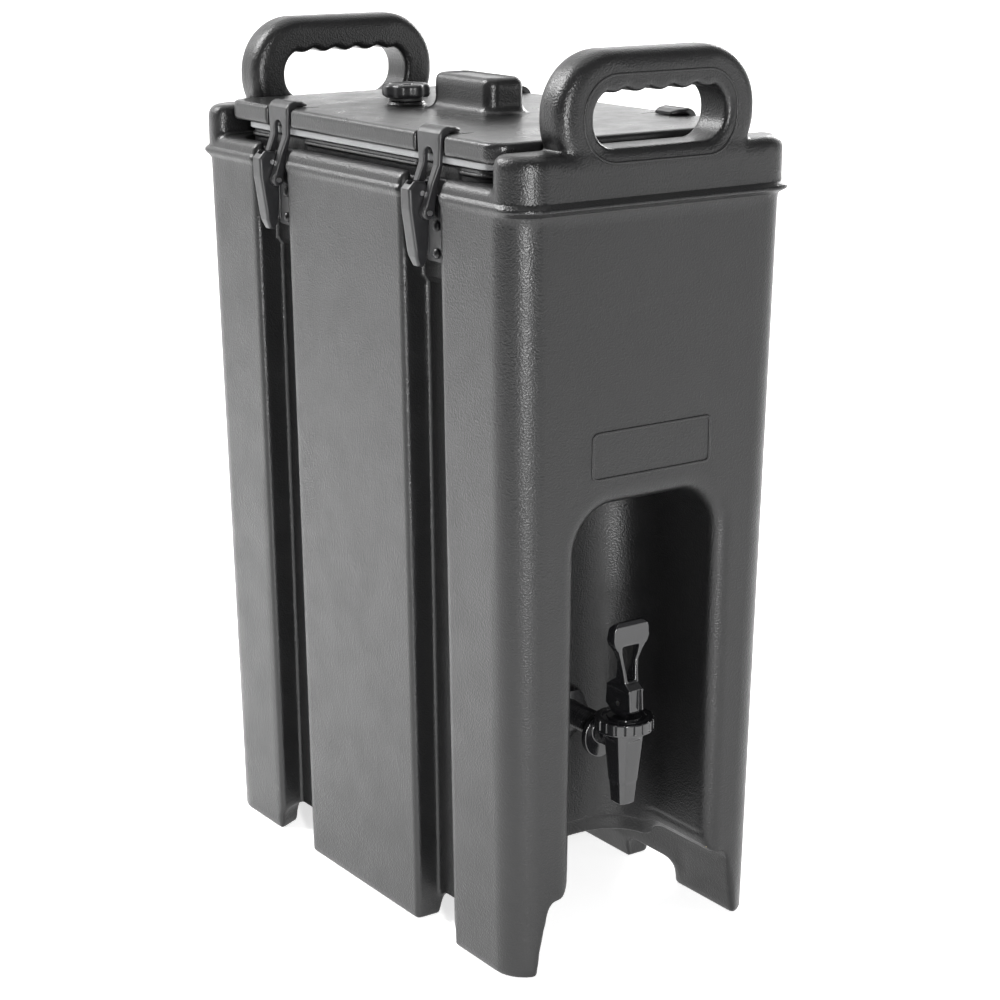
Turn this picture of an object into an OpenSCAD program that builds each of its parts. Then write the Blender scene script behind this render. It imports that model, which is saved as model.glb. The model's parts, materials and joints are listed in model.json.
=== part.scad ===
// Insulated beverage dispenser: a tall narrow double-wall carrier with a lift-off lid,
// four over-centre latches, two carry handles and a sprung tap in a front alcove.
// Millimetres, +Z up. The front face, with the tap, looks along -Y. The origin is the
// middle of the footprint on the floor.

/* [Body] */
// Body width at the floor
base_w = 210; // [180:1:240]
// Body depth at the floor
base_d = 391; // [340:1:430]
// Body width under the bead
top_w = 226; // [200:1:250]
// Body depth under the bead
top_d = 404; // [360:1:440]
// Width over the bead
bead_w = 229; // [205:1:260]
// Depth over the bead
bead_d = 419; // [370:1:450]
// Height of the bead
bead_z = 522; // [450:1:600]
// Radius of the upright corners
corner_r = 24; // [15:1:40]
// Outer skin thickness
skin = 4; // [3:0.5:6]
// Height of the low side rims
rim_z = 534; // [470:1:610]
// Height of the end walls
end_z = 555; // [490:1:640]
// Gap between the two end walls
end_gap = 348; // [300:1:360]
// Height of the floor plate above the ground
floor_z = 53; // [30:1:80]

/* [Handles] */
// Width of a handle arch
handle_w = 157; // [120:1:180]
// Overall height
handle_z = 616; // [560:1:700]
// Depth of a handle arch
handle_t = 30; // [20:1:33]
// Width of the finger hole
hole_w = 108; // [90:1:120]
// Lower edge of the finger hole
hole_z0 = 556; // [530:1:600]
// Upper edge of the finger hole
hole_z1 = 592; // [560:1:640]
// Number of finger scallops
scallops = 4; // [2:1:6]

/* [Grooves] */
// Distance of a groove from the middle
groove_y = 97; // [70:1:120]
// Width of a groove
groove_w = 44; // [30:1:60]
// Half distance between the groove floors at the ground
groove_lo = 87; // [80:1:95]
// Half distance between the groove floors under the latch pads
groove_hi = 91.5; // [82:0.5:98]
// Half distance between the latch pads
pad_u = 95; // [88:0.5:100]
// Height of the lower edge of a latch pad
pad_z = 465; // [400:1:500]
// Height of the gap under a groove
foot_gap = 18; // [10:1:30]

/* [Alcove] */
// Width of the front alcove
alcove_w = 116; // [90:1:130]
// Height of its top
alcove_z = 324; // [280:1:380]
// Position of its back wall, behind the front of the body
alcove_y = 100; // [80:1:120]
// Height of the lip under the alcove
lip_z = 44; // [30:1:50]
// Half width of the opening between the front feet
foot_x = 88; // [70:1:92]

/* [Label panel] */
// Width of the outlined panel
label_w = 100; // [80:1:130]
// Lower edge of the panel
label_z0 = 342; // [330:1:400]
// Upper edge of the panel
label_z1 = 376; // [350:1:440]

/* [Tank] */
// Inside width of the tank
tank_w = 160; // [130:1:170]
// Inside depth of the tank
tank_d = 336; // [300:1:350]
// Height of the tank floor
tank_z = 131; // [110:1:140]
// Tank wall thickness
tank_t = 3.5; // [2:0.5:5]
// Position of the lower front wall of the tank
tank_y = 66; // [50:1:70]
// Height of the shelf over the alcove
shelf_z = 352; // [340:1:400]
// Height of the neck shoulder
neck_z = 500; // [470:1:520]
// Depth of the mouth
mouth_d = 290; // [260:1:300]

/* [Lid] */
// Lid width
lid_w = 210; // [195:1:220]
// Lid depth
lid_d = 344; // [310:1:346]
// Underside of the lid
lid_z = 546; // [500:1:600]
// Thickness of the lid edge
lid_t = 14; // [8:1:20]
// Top of the gasket seat
seat_z = 541; // [500:1:600]
// Width of the raised grip block
grip_w = 32; // [20:1:60]
// Depth of the raised grip block
grip_d = 72; // [50:1:120]
// Height of the raised grip block over the lid
grip_h = 25; // [10:1:35]
// Vent position across the lid
vent_x = -20; // [-60:1:60]
// Vent position along the lid
vent_y = 62; // [50:1:120]

/* [Vent cap] */
// Diameter of the lobed knob
cap_d = 35; // [25:1:45]
// Height of the knob
cap_h = 9.5; // [6:0.5:14]
// Number of lobes
cap_lobes = 8; // [6:1:12]

/* [Latches] */
// Width of a hook
hook_w = 27; // [20:1:32]
// Thickness of a hook
hook_t = 4; // [3:0.5:5]
// Width of a lever
lever_w = 11.8; // [9:0.1:16]
// Distance of the lever pivot from the middle
pivot_u = 114; // [108:0.5:120]
// Height of the lever pivot
pivot_z = 523; // [500:1:540]
// Distance from the lever pivot down to the hook pin
crank = 12; // [8:0.5:16]

/* [Tap] */
// Distance of the tap axis in front of the middle
tap_y = 175; // [150:1:185]
// Height of the shank axis
shank_z = 148; // [140:1:160]
// Diameter of the ribbed bonnet
bonnet_d = 42; // [34:1:50]
// Height of the spout end
spout_z = 102; // [80:1:120]
// Top of the tap handle
lever_top = 235; // [210:1:260]

/* [Hidden] */
$fn = 64;

play = 0.2;
bead_h = 6;
bead_r = corner_r + 3;
collar_w = top_w - 1;
collar_d = top_d + 8;
rim_w = 195;
rim_d = 316;
mouth_w = tank_w + 1;
cavity_top = rim_z - 6;
arch_r = 46;
shoulder_r = 10;
hole_r = 17;
scallop_r = 10.5;
scallop_d = 2.4;
outline_w = 9;
outline_d = 1;
label_line = 3.2;
label_cut = 1;
vent_bore = 8.4;
vent_stem = 8;
shank_r = 9;
shank_bore = 6;
hook_u = 101.6;
hook_lip = 86;
hook_top = 564.6;
slot_z = 551;
slot_v = 6.6;
pin_r = 1.7;
fit = 0.05;
lid_gap = 0.4;
lid_r = 14;
hook_pin_u = pivot_u - 1;
hook_pin_z = pivot_z - crank;
plug_w = tank_w - 6;
plug_d = mouth_d - 6;
plug_z = 518;
seat_top = 140;
chamber_top = 161.4;
bonnet_z = 156;
bonnet_top = 165.4;
handle_pivot_z = 175;
set_back = 1.4;

function grow(v, g) = v + 2 * g;

module plan(x, y, r) {
  square([x - 2 * r, y], center = true);
  square([x, y - 2 * r], center = true);
  for (i = [-1, 1], j = [-1, 1])
    translate([i * (x / 2 - r), j * (y / 2 - r)])
      circle(r);
}

module block(x, y, r, z0, z1) {
  translate([0, 0, z0])
    linear_extrude(z1 - z0)
      plan(x, y, r);
}

module taper(x0, y0, z0, x1, y1, z1, r) {
  thin = 0.01;
  hull() {
    translate([0, 0, z0])
      linear_extrude(thin)
        plan(x0, y0, r, $fn = 48);
    translate([0, 0, z1 - thin])
      linear_extrude(thin)
        plan(x1, y1, r, $fn = 48);
  }
}

// A drawing in the X-Z plane pushed along Y from y0 to y1
module along_y(y0, y1) {
  translate([0, y1, 0])
    rotate([90, 0, 0])
      linear_extrude(y1 - y0)
        children();
}

// A drawing in the Y-Z plane pushed along X from x0 to x1
module along_x(x0, x1) {
  translate([x0, 0, 0])
    rotate([90, 0, 90])
      linear_extrude(x1 - x0)
        children();
}

function body_w(z) = base_w + (top_w - base_w) * z / bead_z;
function body_d(z) = base_d + (top_d - base_d) * z / bead_z;

module body_solid(inset, z0, z1) {
  taper(body_w(z0) - 2 * inset, body_d(z0) - 2 * inset, z0,
        body_w(z1) - 2 * inset, body_d(z1) - 2 * inset, z1, corner_r - inset);
}

module groove_profile(g) {
  polygon([[groove_lo - g, -1], [groove_hi - g, pad_z - 5 - g], [pad_u - g, pad_z - g],
           [pad_u - g, end_z], [bead_w, end_z], [bead_w, -1]]);
}

module grooves(g) {
  for (side = [0, 180], j = [-1, 1])
    rotate([0, 0, side])
      along_y(j * groove_y - groove_w / 2 - g, j * groove_y + groove_w / 2 + g)
        groove_profile(g);
}

module groove_gaps() {
  inner = 70;
  for (side = [-1, 1], j = [-1, 1])
    translate([side * (inner + bead_w) / 2, j * groove_y, (foot_gap - 1) / 2])
      cube([bead_w - inner, groove_w, foot_gap + 1], center = true);
}

module alcove(g) {
  front = bead_d;
  w = grow(alcove_w, g);
  h = alcove_z + g;
  back = -alcove_y + g;
  mid = (back - front) / 2;
  intersection() {
    along_y(-front, back)
      plan(w, 2 * h, 30 + g);
    along_x(-w / 2, w / 2)
      translate([mid, 0])
        plan(back + front, 2 * h, 40 + g);
    translate([0, mid, -1])
      linear_extrude(h + 2)
        plan(w, back + front, 22 + g);
  }
}

module bell() {
  side = [[57, 62], [61, 57], [68, 51.5], [76, 45], [82, 34], [86, 18], [foot_x, -1]];
  flip = [for (i = [len(side) - 1:-1:0]) [-side[i][0], side[i][1]]];
  along_y(-bead_d, -alcove_y - 60)
    polygon(concat(side, flip));
}

module arch_profile() {
  low = end_z - 20;
  translate([0, (low + handle_z) / 2])
    plan(handle_w, handle_z - low, arch_r / 1.15);
}

module hole_profile(g) {
  w = grow(hole_w, g);
  h = hole_z1 - hole_z0 + 2 * g;
  translate([0, (hole_z0 + hole_z1) / 2])
    plan(w, h, min(hole_r + g, h / 2 - 0.01));
}

module scallop_profile() {
  pitch = (hole_w - 2 * hole_r) / scallops;
  difference() {
    hole_profile(0);
    for (i = [0:scallops])
      translate([(i - scallops / 2) * pitch, hole_z1 + scallop_r - scallop_d])
        circle(scallop_r);
  }
}

module end_profile() {
  low = bead_z;
  translate([0, (low + end_z) / 2])
    plan(collar_w, end_z - low, shoulder_r);
  translate([-collar_w / 2, low])
    square([collar_w, shoulder_r]);
  arch_profile();
}

module end_wall(j) {
  outer = collar_d / 2 - set_back;
  inner = end_gap / 2;
  intersection() {
    rotate([0, 0, j > 0 ? 180 : 0])
      difference() {
        union() {
          along_y(-collar_d / 2, -inner)
            intersection() {
              end_profile();
              translate([-collar_w / 2, 0])
                square([collar_w, end_z]);
            }
          along_y(-outer, -outer + handle_t)
            end_profile();
        }
        along_y(-bead_d, 0)
          scallop_profile();
        along_y(-bead_d, -outer + outline_d)
          hole_profile(outline_w);
        along_y(-outer + handle_t - outline_d, 0)
          hole_profile(outline_w);
      }
    block(collar_w, collar_d, corner_r, bead_z - 1, handle_z + 1);
  }
}

module end_cavity(g) {
  y0 = end_gap / 2 + skin;
  y1 = collar_d / 2 - 2 * skin;
  for (j = [-1, 1])
    translate([0, j * (y0 + y1) / 2, (cavity_top + end_z - 12) / 2])
      cube([collar_w - 50 - 2 * g, y1 - y0 - 2 * g, end_z - 12 - cavity_top - 2 * g + 8], center = true);
}

module cavity(g) {
  difference() {
    union() {
      body_solid(skin + g, floor_z + skin + g, cavity_top - g);
      end_cavity(g);
    }
    grooves(skin + g);
    alcove(skin + g);
  }
}

module underside() {
  lip = lip_z;
  difference() {
    body_solid(skin + 1, -0.5, floor_z);
    grooves(skin);
    intersection() {
      alcove(skin);
      translate([0, 0, lip + bead_d / 2])
        cube(bead_d, center = true);
    }
  }
}

module shank_bore(r) {
  translate([0, 0, shank_z])
    rotate([90, 0, 0])
      cylinder(r = r, h = tap_y);
}

module label_frame() {
  h = label_z1 - label_z0;
  mid = (label_z0 + label_z1) / 2;
  r = 5;
  along_y(-bead_d, -body_d(mid) / 2 + label_cut)
    translate([0, mid])
      difference() {
        plan(label_w, h, r);
        plan(label_w - 2 * label_line, h - 2 * label_line, r - label_line);
      }
}

module outer_shell() {
  color([0.12, 0.12, 0.13])
    difference() {
      union() {
        body_solid(0, 0, bead_z);
        taper(top_w - 0.2, top_d - 0.2, bead_z - 12, bead_w, bead_d, bead_z - bead_h / 2, bead_r);
        block(bead_w, bead_d, bead_r, bead_z - bead_h / 2, bead_z);
        taper(bead_w, bead_d, bead_z - 0.1, collar_w, collar_d, bead_z + bead_h, bead_r);
        block(collar_w, collar_d, corner_r, bead_z, rim_z);
        block(rim_w, rim_d, corner_r - 6, rim_z - 1, seat_z);
        end_wall(-1);
        end_wall(1);
      }
      cavity(0);
      underside();
      grooves(0);
      groove_gaps();
      alcove(0);
      bell();
      label_frame();
      shank_bore(shank_r + fit * 4);
      block(mouth_w + 2 * tank_t + 2 * play, mouth_d + 2 * tank_t + 2 * play, 14, cavity_top - 1, end_z + 80);
    }
}

module tank_shape(g) {
  w = tank_w + 2 * g;
  lower_back = tank_d / 2 + g;
  lower_front = -tank_y - g;
  r = 22 + g;
  translate([0, (lower_back + lower_front) / 2, 0])
    block(w, lower_back - lower_front, r, tank_z - g, shelf_z + 20);
  block(w, tank_d + 2 * g, r, shelf_z - g, neck_z + g);
  block(mouth_w + 2 * g, mouth_d + 2 * g, 10 + g, neck_z, seat_z + (g > 0 ? 0 : 1));
}

module foam_core() {
  color([0.93, 0.88, 0.7])
    difference() {
      cavity(play);
      tank_shape(tank_t + play);
      shank_bore(shank_r + 1);
    }
}

module tank() {
  color([0.2, 0.2, 0.21])
    difference() {
      tank_shape(tank_t);
      tank_shape(0);
      shank_bore(shank_r + fit * 4);
    }
}

module lid_notches(z0, z1) {
  depth = 5;
  w = 34;
  for (i = [-1, 1], j = [-1, 1])
    translate([i * (lid_w / 2), j * groove_y, (z0 + z1) / 2])
      cube([2 * depth, w, z1 - z0 + 2], center = true);
}

module lid_shell() {
  top = lid_z + lid_t;
  flare = 5;
  color([0.13, 0.13, 0.14])
    difference() {
      union() {
        block(lid_w, lid_d, lid_r, lid_z, top);
        block(grip_w, grip_d, 8, top - 1, top + grip_h);
        taper(grip_w + 2 * flare, grip_d + 2 * flare, top - 0.5, grip_w, grip_d, top + flare, 8);
        translate([vent_x, vent_y, top - 1])
          cylinder(r = 13, h = 4);
      }
      lid_notches(lid_z, top);
      block(lid_w - 18, lid_d - 8, 18, lid_z - 1, top - 4);
      block(grip_w - 6, grip_d - 6, 5, lid_z, top + grip_h - 3);
      translate([vent_x, vent_y, 0])
        cylinder(r = vent_bore, h = top + 10);
    }
}

module lid_foam() {
  top = lid_z + lid_t - 4 - play;
  color([0.93, 0.88, 0.7])
    difference() {
      block(lid_w - 18 - 2 * play, lid_d - 8 - 2 * play, 18 - play, lid_z + 3.2, top);
      translate([vent_x, vent_y, 0])
        cylinder(r = 14, h = top + 10);
    }
}

module lid_base() {
  t = 3;
  color([0.13, 0.13, 0.14])
    difference() {
      union() {
        block(lid_w - 18 - 2 * play, lid_d - 8 - 2 * play, 18 - play, lid_z, lid_z + t);
        block(plug_w, plug_d, 10, plug_z, lid_z + 1);
        translate([vent_x, vent_y, lid_z])
          cylinder(r = 13.6, h = lid_t - 4.2);
      }
      block(plug_w - 8, plug_d - 8, 7, plug_z + 4, lid_z - 3);
      translate([vent_x, vent_y, 0])
        cylinder(r = vent_bore, h = end_z + 40);
    }
}

module lid_gasket() {
  w = 199;
  d = 318;
  color([0.78, 0.79, 0.8])
    difference() {
      block(w, d, 16, seat_z + 0.1, lid_z);
      block(plug_w + 4, plug_d + 4, 12, 0, end_z + 40);
    }
}

module vent_cap() {
  top = lid_z + lid_t;
  z0 = top + 5.4;
  color([0.06, 0.06, 0.065])
    translate([vent_x, vent_y, 0]) {
      difference() {
        translate([0, 0, z0])
          cylinder(d = cap_d, h = cap_h);
        for (a = [0:cap_lobes - 1])
          rotate([0, 0, (a + 0.5) * 360 / cap_lobes])
            translate([cap_d / 2 + 3.4, 0, z0 - 1])
              cylinder(r = 5, h = cap_h + 2, $fn = 32);
      }
      translate([0, 0, top - 12])
        cylinder(r = vent_stem, h = z0 - top + 13);
    }
}

module vent_seal() {
  top = lid_z + lid_t;
  color([0.25, 0.25, 0.26])
    translate([vent_x, vent_y, top + 3.3])
      difference() {
        cylinder(r = 12, h = 2);
        translate([0, 0, -1])
          cylinder(r = vent_stem + 0.3, h = 4);
      }
}

// Puts a latch drawn for the middle of the +X side at one of the four corners
module latch_at(i, j) {
  translate([0, j * groove_y, 0])
    rotate([0, 0, i > 0 ? 0 : 180])
      children();
}

// A drawing in the outward-up plane pushed across a latch, centred on its middle
module across(w) {
  along_y(-w / 2, w / 2)
    children();
}

module y_pin(u, z, r, w) {
  translate([u, w / 2, z])
    rotate([90, 0, 0])
      cylinder(r = r, h = w, $fn = 48);
}

module bracket() {
  t = 4;
  tongue_w = 5.4;
  z0 = 476;
  z1 = 531;
  boss = 5;
  color([0.05, 0.05, 0.055])
    difference() {
      union() {
        translate([pad_u + 0.1, 0, (z0 + z1) / 2])
          rotate([0, 90, 0])
            linear_extrude(t)
              plan(z1 - z0, hook_w, 4);
        across(tongue_w)
          union() {
            polygon([[pad_u + t - 0.5, 504], [pivot_u + 1.5, pivot_z - 4.5],
                     [pivot_u - 2.5, pivot_z + 4.2], [pad_u + t - 0.5, 519]]);
            translate([pivot_u, pivot_z])
              circle(boss);
          }
      }
      y_pin(pivot_u, pivot_z, pin_r, tongue_w + 2);
      for (z = [482, 500])
        translate([pad_u - 1, 0, z])
          rotate([0, 90, 0])
            cylinder(r = 2.2 + fit, h = 10);
    }
}

module rivets() {
  head = 3.6;
  color([0.05, 0.05, 0.055])
    for (z = [482, 500])
      translate([pad_u + 0.2, 0, z])
        rotate([0, 90, 0]) {
          cylinder(r = 2.2, h = 4.2);
          translate([0, 0, 4.05])
            cylinder(r1 = head, r2 = head - 1.2, h = 1.8);
        }
}

module lever_side() {
  polygon([[pivot_u - 6, pivot_z + 3], [pivot_u - 2, pivot_z + 7], [pivot_u + 6, pivot_z + 8],
           [pivot_u + 10, pivot_z + 3], [pivot_u + 9.6, pivot_z - 10], [pivot_u + 5, 482],
           [pivot_u + 2, 475], [pivot_u - 2.5, 474], [pivot_u - 4.5, 479],
           [hook_pin_u - 5, hook_pin_z - 5], [hook_pin_u - 5.5, hook_pin_z + 3]]);
}

module lever_web() {
  polygon([[pivot_u + 6.2, pivot_z + 5.5], [pivot_u + 10, pivot_z + 3], [pivot_u + 9.6, pivot_z - 10],
           [pivot_u + 5, 482], [pivot_u + 2, 475], [pivot_u - 2.5, 474], [pivot_u - 4.5, 479],
           [pivot_u - 2, 492], [pivot_u + 3, 499], [pivot_u + 6.6, pivot_z - 9], [pivot_u + 6.8, pivot_z + 2]]);
}

module lever() {
  cheek = 2.8;
  color([0.07, 0.07, 0.075])
    difference() {
      union() {
        for (s = [-1, 1])
          along_y(s * (lever_w - cheek) / 2 - cheek / 2, s * (lever_w - cheek) / 2 + cheek / 2)
            lever_side();
        across(lever_w - cheek)
          lever_web();
      }
      y_pin(pivot_u, pivot_z, pin_r + fit, lever_w + 2);
      y_pin(hook_pin_u, hook_pin_z, pin_r, lever_w + 2);
    }
}

module pivot_pin() {
  color([0.1, 0.1, 0.105])
    y_pin(pivot_u, pivot_z, pin_r, lever_w + 0.6);
}

module hook_side() {
  polygon([[hook_u, 540], [hook_u, lid_z + lid_t + lid_gap], [hook_lip, lid_z + lid_t + lid_gap],
           [hook_lip, hook_top - 2], [hook_lip + 2, hook_top], [hook_u + hook_t - 3, hook_top],
           [hook_u + hook_t, hook_top - 3], [hook_u + hook_t, 541],
           [hook_pin_u + 4.2, hook_pin_z + 1], [hook_pin_u + 1, hook_pin_z - 4],
           [hook_pin_u - 3, hook_pin_z - 3], [hook_pin_u - 4.4, hook_pin_z + 1]]);
}

module hook() {
  color([0.07, 0.07, 0.075])
    difference() {
      union() {
        across(hook_w)
          hook_side();
        y_pin(hook_pin_u, hook_pin_z, 4.6, hook_w);
      }
      translate([0, 0, (slot_z + 490) / 2])
        cube([2 * bead_w, 2 * slot_v, slot_z - 490], center = true);
      y_pin(hook_pin_u, hook_pin_z, pin_r + fit, hook_w + 2);
      for (s = [-1, 1])
        translate([hook_lip - 4, s * hook_w / 2, 0])
          cylinder(r = 6, h = 600);
    }
}

module hook_pin() {
  color([0.1, 0.1, 0.105])
    y_pin(hook_pin_u, hook_pin_z, pin_r, hook_w + 0.6);
}

module spout() {
  mid_z = 119;
  hull() {
    translate([0, -tap_y, bonnet_z - 1.2])
      linear_extrude(1)
        plan(24, 24, 4, $fn = 24);
    translate([0, -tap_y, mid_z])
      linear_extrude(1)
        plan(17, 17, 3, $fn = 24);
  }
  hull() {
    translate([0, -tap_y, mid_z])
      linear_extrude(1)
        plan(17, 17, 3, $fn = 24);
    translate([0, -tap_y, spout_z])
      linear_extrude(1)
        plan(14.4, 14.4, 2.4, $fn = 24);
  }
}

module tap_body() {
  flange_y = 152;
  spigot_z = bonnet_z - shank_r - 0.3;
  neck_bore = 3.5;
  color([0.05, 0.05, 0.055])
    difference() {
      union() {
        spout();
        translate([0, -tap_y, 136])
          cylinder(r = 13, h = chamber_top - 136);
        translate([0, -tank_y + 12, shank_z])
          rotate([90, 0, 0])
            cylinder(r = shank_r, h = flange_y - tank_y + 11);
        translate([0, -flange_y + 5, shank_z - 5])
          rotate([90, 0, 0])
            cylinder(r = 16, h = 5);
        translate([0, -flange_y + 1, spigot_z])
          rotate([90, 0, 0])
            cylinder(r = shank_r, h = tap_y - flange_y - 6);
      }
      translate([0, -tap_y, seat_top])
        cylinder(r = 10, h = 40);
      translate([0, -tap_y, spout_z - 1])
        cylinder(r = 4.2, h = 60);
      translate([0, -tap_y, seat_top - 2])
        cylinder(r1 = 4.2, r2 = 6.4, h = 2.01);
      translate([0, 0, shank_z])
        rotate([90, 0, 0])
          cylinder(r = shank_bore, h = flange_y - 2);
      translate([0, 0, spigot_z + 3])
        rotate([90, 0, 0])
          cylinder(r = neck_bore, h = tap_y);
    }
}

module tap_bonnet() {
  ribs = 24;
  z0 = bonnet_z;
  color([0.05, 0.05, 0.055])
    translate([0, -tap_y, 0])
      difference() {
        union() {
          translate([0, 0, z0])
            cylinder(d = bonnet_d - 2, h = bonnet_top - z0);
          for (a = [0:ribs - 1])
            rotate([0, 0, a * 360 / ribs])
              translate([bonnet_d / 2 - 2, -1.7, z0 + 0.6])
                cube([2, 3.4, bonnet_top - z0 - 1.2]);
        }
        translate([0, 0, z0 - 20])
          cylinder(r = 13 + play, h = 20 + chamber_top + play - z0);
        cylinder(r = 3.4, h = 200);
        translate([0, 0, bonnet_top - 1])
          difference() {
            cylinder(r = 18, h = 2);
            translate([0, 0, -1])
              cylinder(r = 15.6, h = 4);
          }
      }
}

module tap_stem() {
  neck = 3.35;
  flat_t = 4.8;
  flat_z = 163.8;
  color([0.12, 0.12, 0.125])
    translate([0, -tap_y, 0])
      difference() {
        union() {
          intersection() {
            translate([0, 0, 144])
              cylinder(r = neck, h = handle_pivot_z - 144);
            union() {
              translate([0, 0, 144])
                cylinder(r = 2 * neck, h = flat_z - 144);
              translate([-flat_t / 2, -neck, flat_z - 1])
                cube([flat_t, 2 * neck, handle_pivot_z - flat_z + 1]);
            }
          }
          translate([0, 0, handle_pivot_z])
            rotate([0, 90, 0])
              cylinder(r = neck, h = flat_t, center = true);
        }
        translate([-10, 0, handle_pivot_z])
          rotate([0, 90, 0])
            cylinder(r = pin_r + fit, h = 20);
      }
}

module tap_cup() {
  color([0.85, 0.84, 0.8])
    translate([0, -tap_y, 0])
      difference() {
        union() {
          translate([0, 0, seat_top + 0.1])
            cylinder(r = 8, h = 5.6);
          translate([0, 0, seat_top - 1.4])
            cylinder(r1 = 4.6, r2 = 6, h = 1.6);
        }
        translate([0, 0, 143.9])
          cylinder(r = 3.4, h = 10);
      }
}

module tap_spring() {
  z0 = seat_top + 6.2;
  z1 = chamber_top - 0.4;
  turns = 2.6;
  inner = 4.7;
  outer = 6.1;
  span = 130;
  steps = 10;
  color([0.7, 0.7, 0.72])
    translate([0, -tap_y, z0])
      linear_extrude(z1 - z0, twist = -360 * turns, slices = 40)
        polygon(concat([for (i = [0:steps]) outer * [cos(i * span / steps), sin(i * span / steps)]],
                       [for (i = [steps:-1:0]) inner * [cos(i * span / steps), sin(i * span / steps)]]));
}

module tap_handle_side() {
  y = -tap_y;
  polygon([[y - 14, 172], [y - 13, 187], [y - 8, 191], [y - 5.5, 206], [y - 7.5, 222], [y - 7.4, 232],
           [y - 5.2, lever_top - 0.6], [y - 3.4, lever_top], [y, 231], [y + 2, 222],
           [y - 0.5, 206], [y + 3, 193], [y + 13, 186], [y + 14, 172], [y + 5, 166], [y - 5, 166]]);
}

module tap_handle_front() {
  difference() {
    polygon([[-6, 160], [-6, 190], [-7, 200], [-9.5, 210], [-14.5, 219], [-15, 230], [-11, lever_top],
             [11, lever_top], [15, 230], [14.5, 219], [9.5, 210], [7, 200], [6, 190], [6, 160]]);
    polygon([[-3.2, 193], [-4.2, 203], [-6.8, 213], [-5.4, 217], [5.4, 217], [6.8, 213], [4.2, 203], [3.2, 193]]);
  }
}

module tap_handle() {
  slot = 5.2;
  slot_l = 18;
  color([0.05, 0.05, 0.055])
    difference() {
      intersection() {
        along_x(-20, 20)
          tap_handle_side();
        along_y(-tap_y - 20, -tap_y + 20)
          tap_handle_front();
      }
      translate([-slot / 2, -tap_y - slot_l / 2, 150])
        cube([slot, slot_l, handle_pivot_z + 5.5 - 150]);
      translate([-10, -tap_y, handle_pivot_z])
        rotate([0, 90, 0])
          cylinder(r = pin_r, h = 20);
    }
}

module tap_pin() {
  color([0.3, 0.3, 0.31])
    translate([-5.9, -tap_y, handle_pivot_z])
      rotate([0, 90, 0])
        cylinder(r = pin_r, h = 11.8);
}

module hex_nut(y0, y1, r) {
  translate([0, y1, shank_z])
    rotate([90, 0, 0])
      difference() {
        cylinder(r = r, h = y1 - y0, $fn = 6);
        translate([0, 0, -1])
          cylinder(r = shank_r + fit, h = y1 - y0 + 2);
      }
}

module washer(y0, y1, r) {
  translate([0, y1, shank_z])
    rotate([90, 0, 0])
      difference() {
        cylinder(r = r, h = y1 - y0);
        translate([0, 0, -1])
          cylinder(r = shank_r + fit, h = y1 - y0 + 2);
      }
}

module tap_locknut() {
  color([0.06, 0.06, 0.065])
    hex_nut(-alcove_y - 12, -alcove_y - 3.2, 17);
}

module wall_washer() {
  color([0.2, 0.2, 0.2])
    washer(-alcove_y - 3.1, -alcove_y - 0.1, 16);
}

module tank_washer() {
  color([0.2, 0.2, 0.2])
    washer(-tank_y + 0.1, -tank_y + 2.6, 14);
}

module tank_nut() {
  color([0.75, 0.75, 0.74])
    hex_nut(-tank_y + 2.7, -tank_y + 10, 15);
}

outer_shell();
foam_core();
tank();
lid_shell();
lid_foam();
lid_base();
lid_gasket();
vent_cap();
vent_seal();
latch_at(-1, -1) bracket();  // bracket_fl
latch_at(-1, 1) bracket();  // bracket_bl
latch_at(1, -1) bracket();  // bracket_fr
latch_at(1, 1) bracket();  // bracket_br
latch_at(-1, -1) rivets();  // rivets_fl
latch_at(-1, 1) rivets();  // rivets_bl
latch_at(1, -1) rivets();  // rivets_fr
latch_at(1, 1) rivets();  // rivets_br
latch_at(-1, -1) lever();  // lever_fl
latch_at(-1, 1) lever();  // lever_bl
latch_at(1, -1) lever();  // lever_fr
latch_at(1, 1) lever();  // lever_br
latch_at(-1, -1) pivot_pin();  // pivot_pin_fl
latch_at(-1, 1) pivot_pin();  // pivot_pin_bl
latch_at(1, -1) pivot_pin();  // pivot_pin_fr
latch_at(1, 1) pivot_pin();  // pivot_pin_br
latch_at(-1, -1) hook();  // hook_fl
latch_at(-1, 1) hook();  // hook_bl
latch_at(1, -1) hook();  // hook_fr
latch_at(1, 1) hook();  // hook_br
latch_at(-1, -1) hook_pin();  // hook_pin_fl
latch_at(-1, 1) hook_pin();  // hook_pin_bl
latch_at(1, -1) hook_pin();  // hook_pin_fr
latch_at(1, 1) hook_pin();  // hook_pin_br
tap_body();
tap_bonnet();
tap_stem();
tap_cup();
tap_spring();
tap_handle();
tap_pin();
tap_locknut();
wall_washer();
tank_washer();
tank_nut();
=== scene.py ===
"""Insulated drink dispenser.

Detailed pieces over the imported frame, their materials, the camera and the studio.
"""

import json
import math

import bpy
import numpy as np
import openvdb
from mathutils import Matrix, Vector


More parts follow.
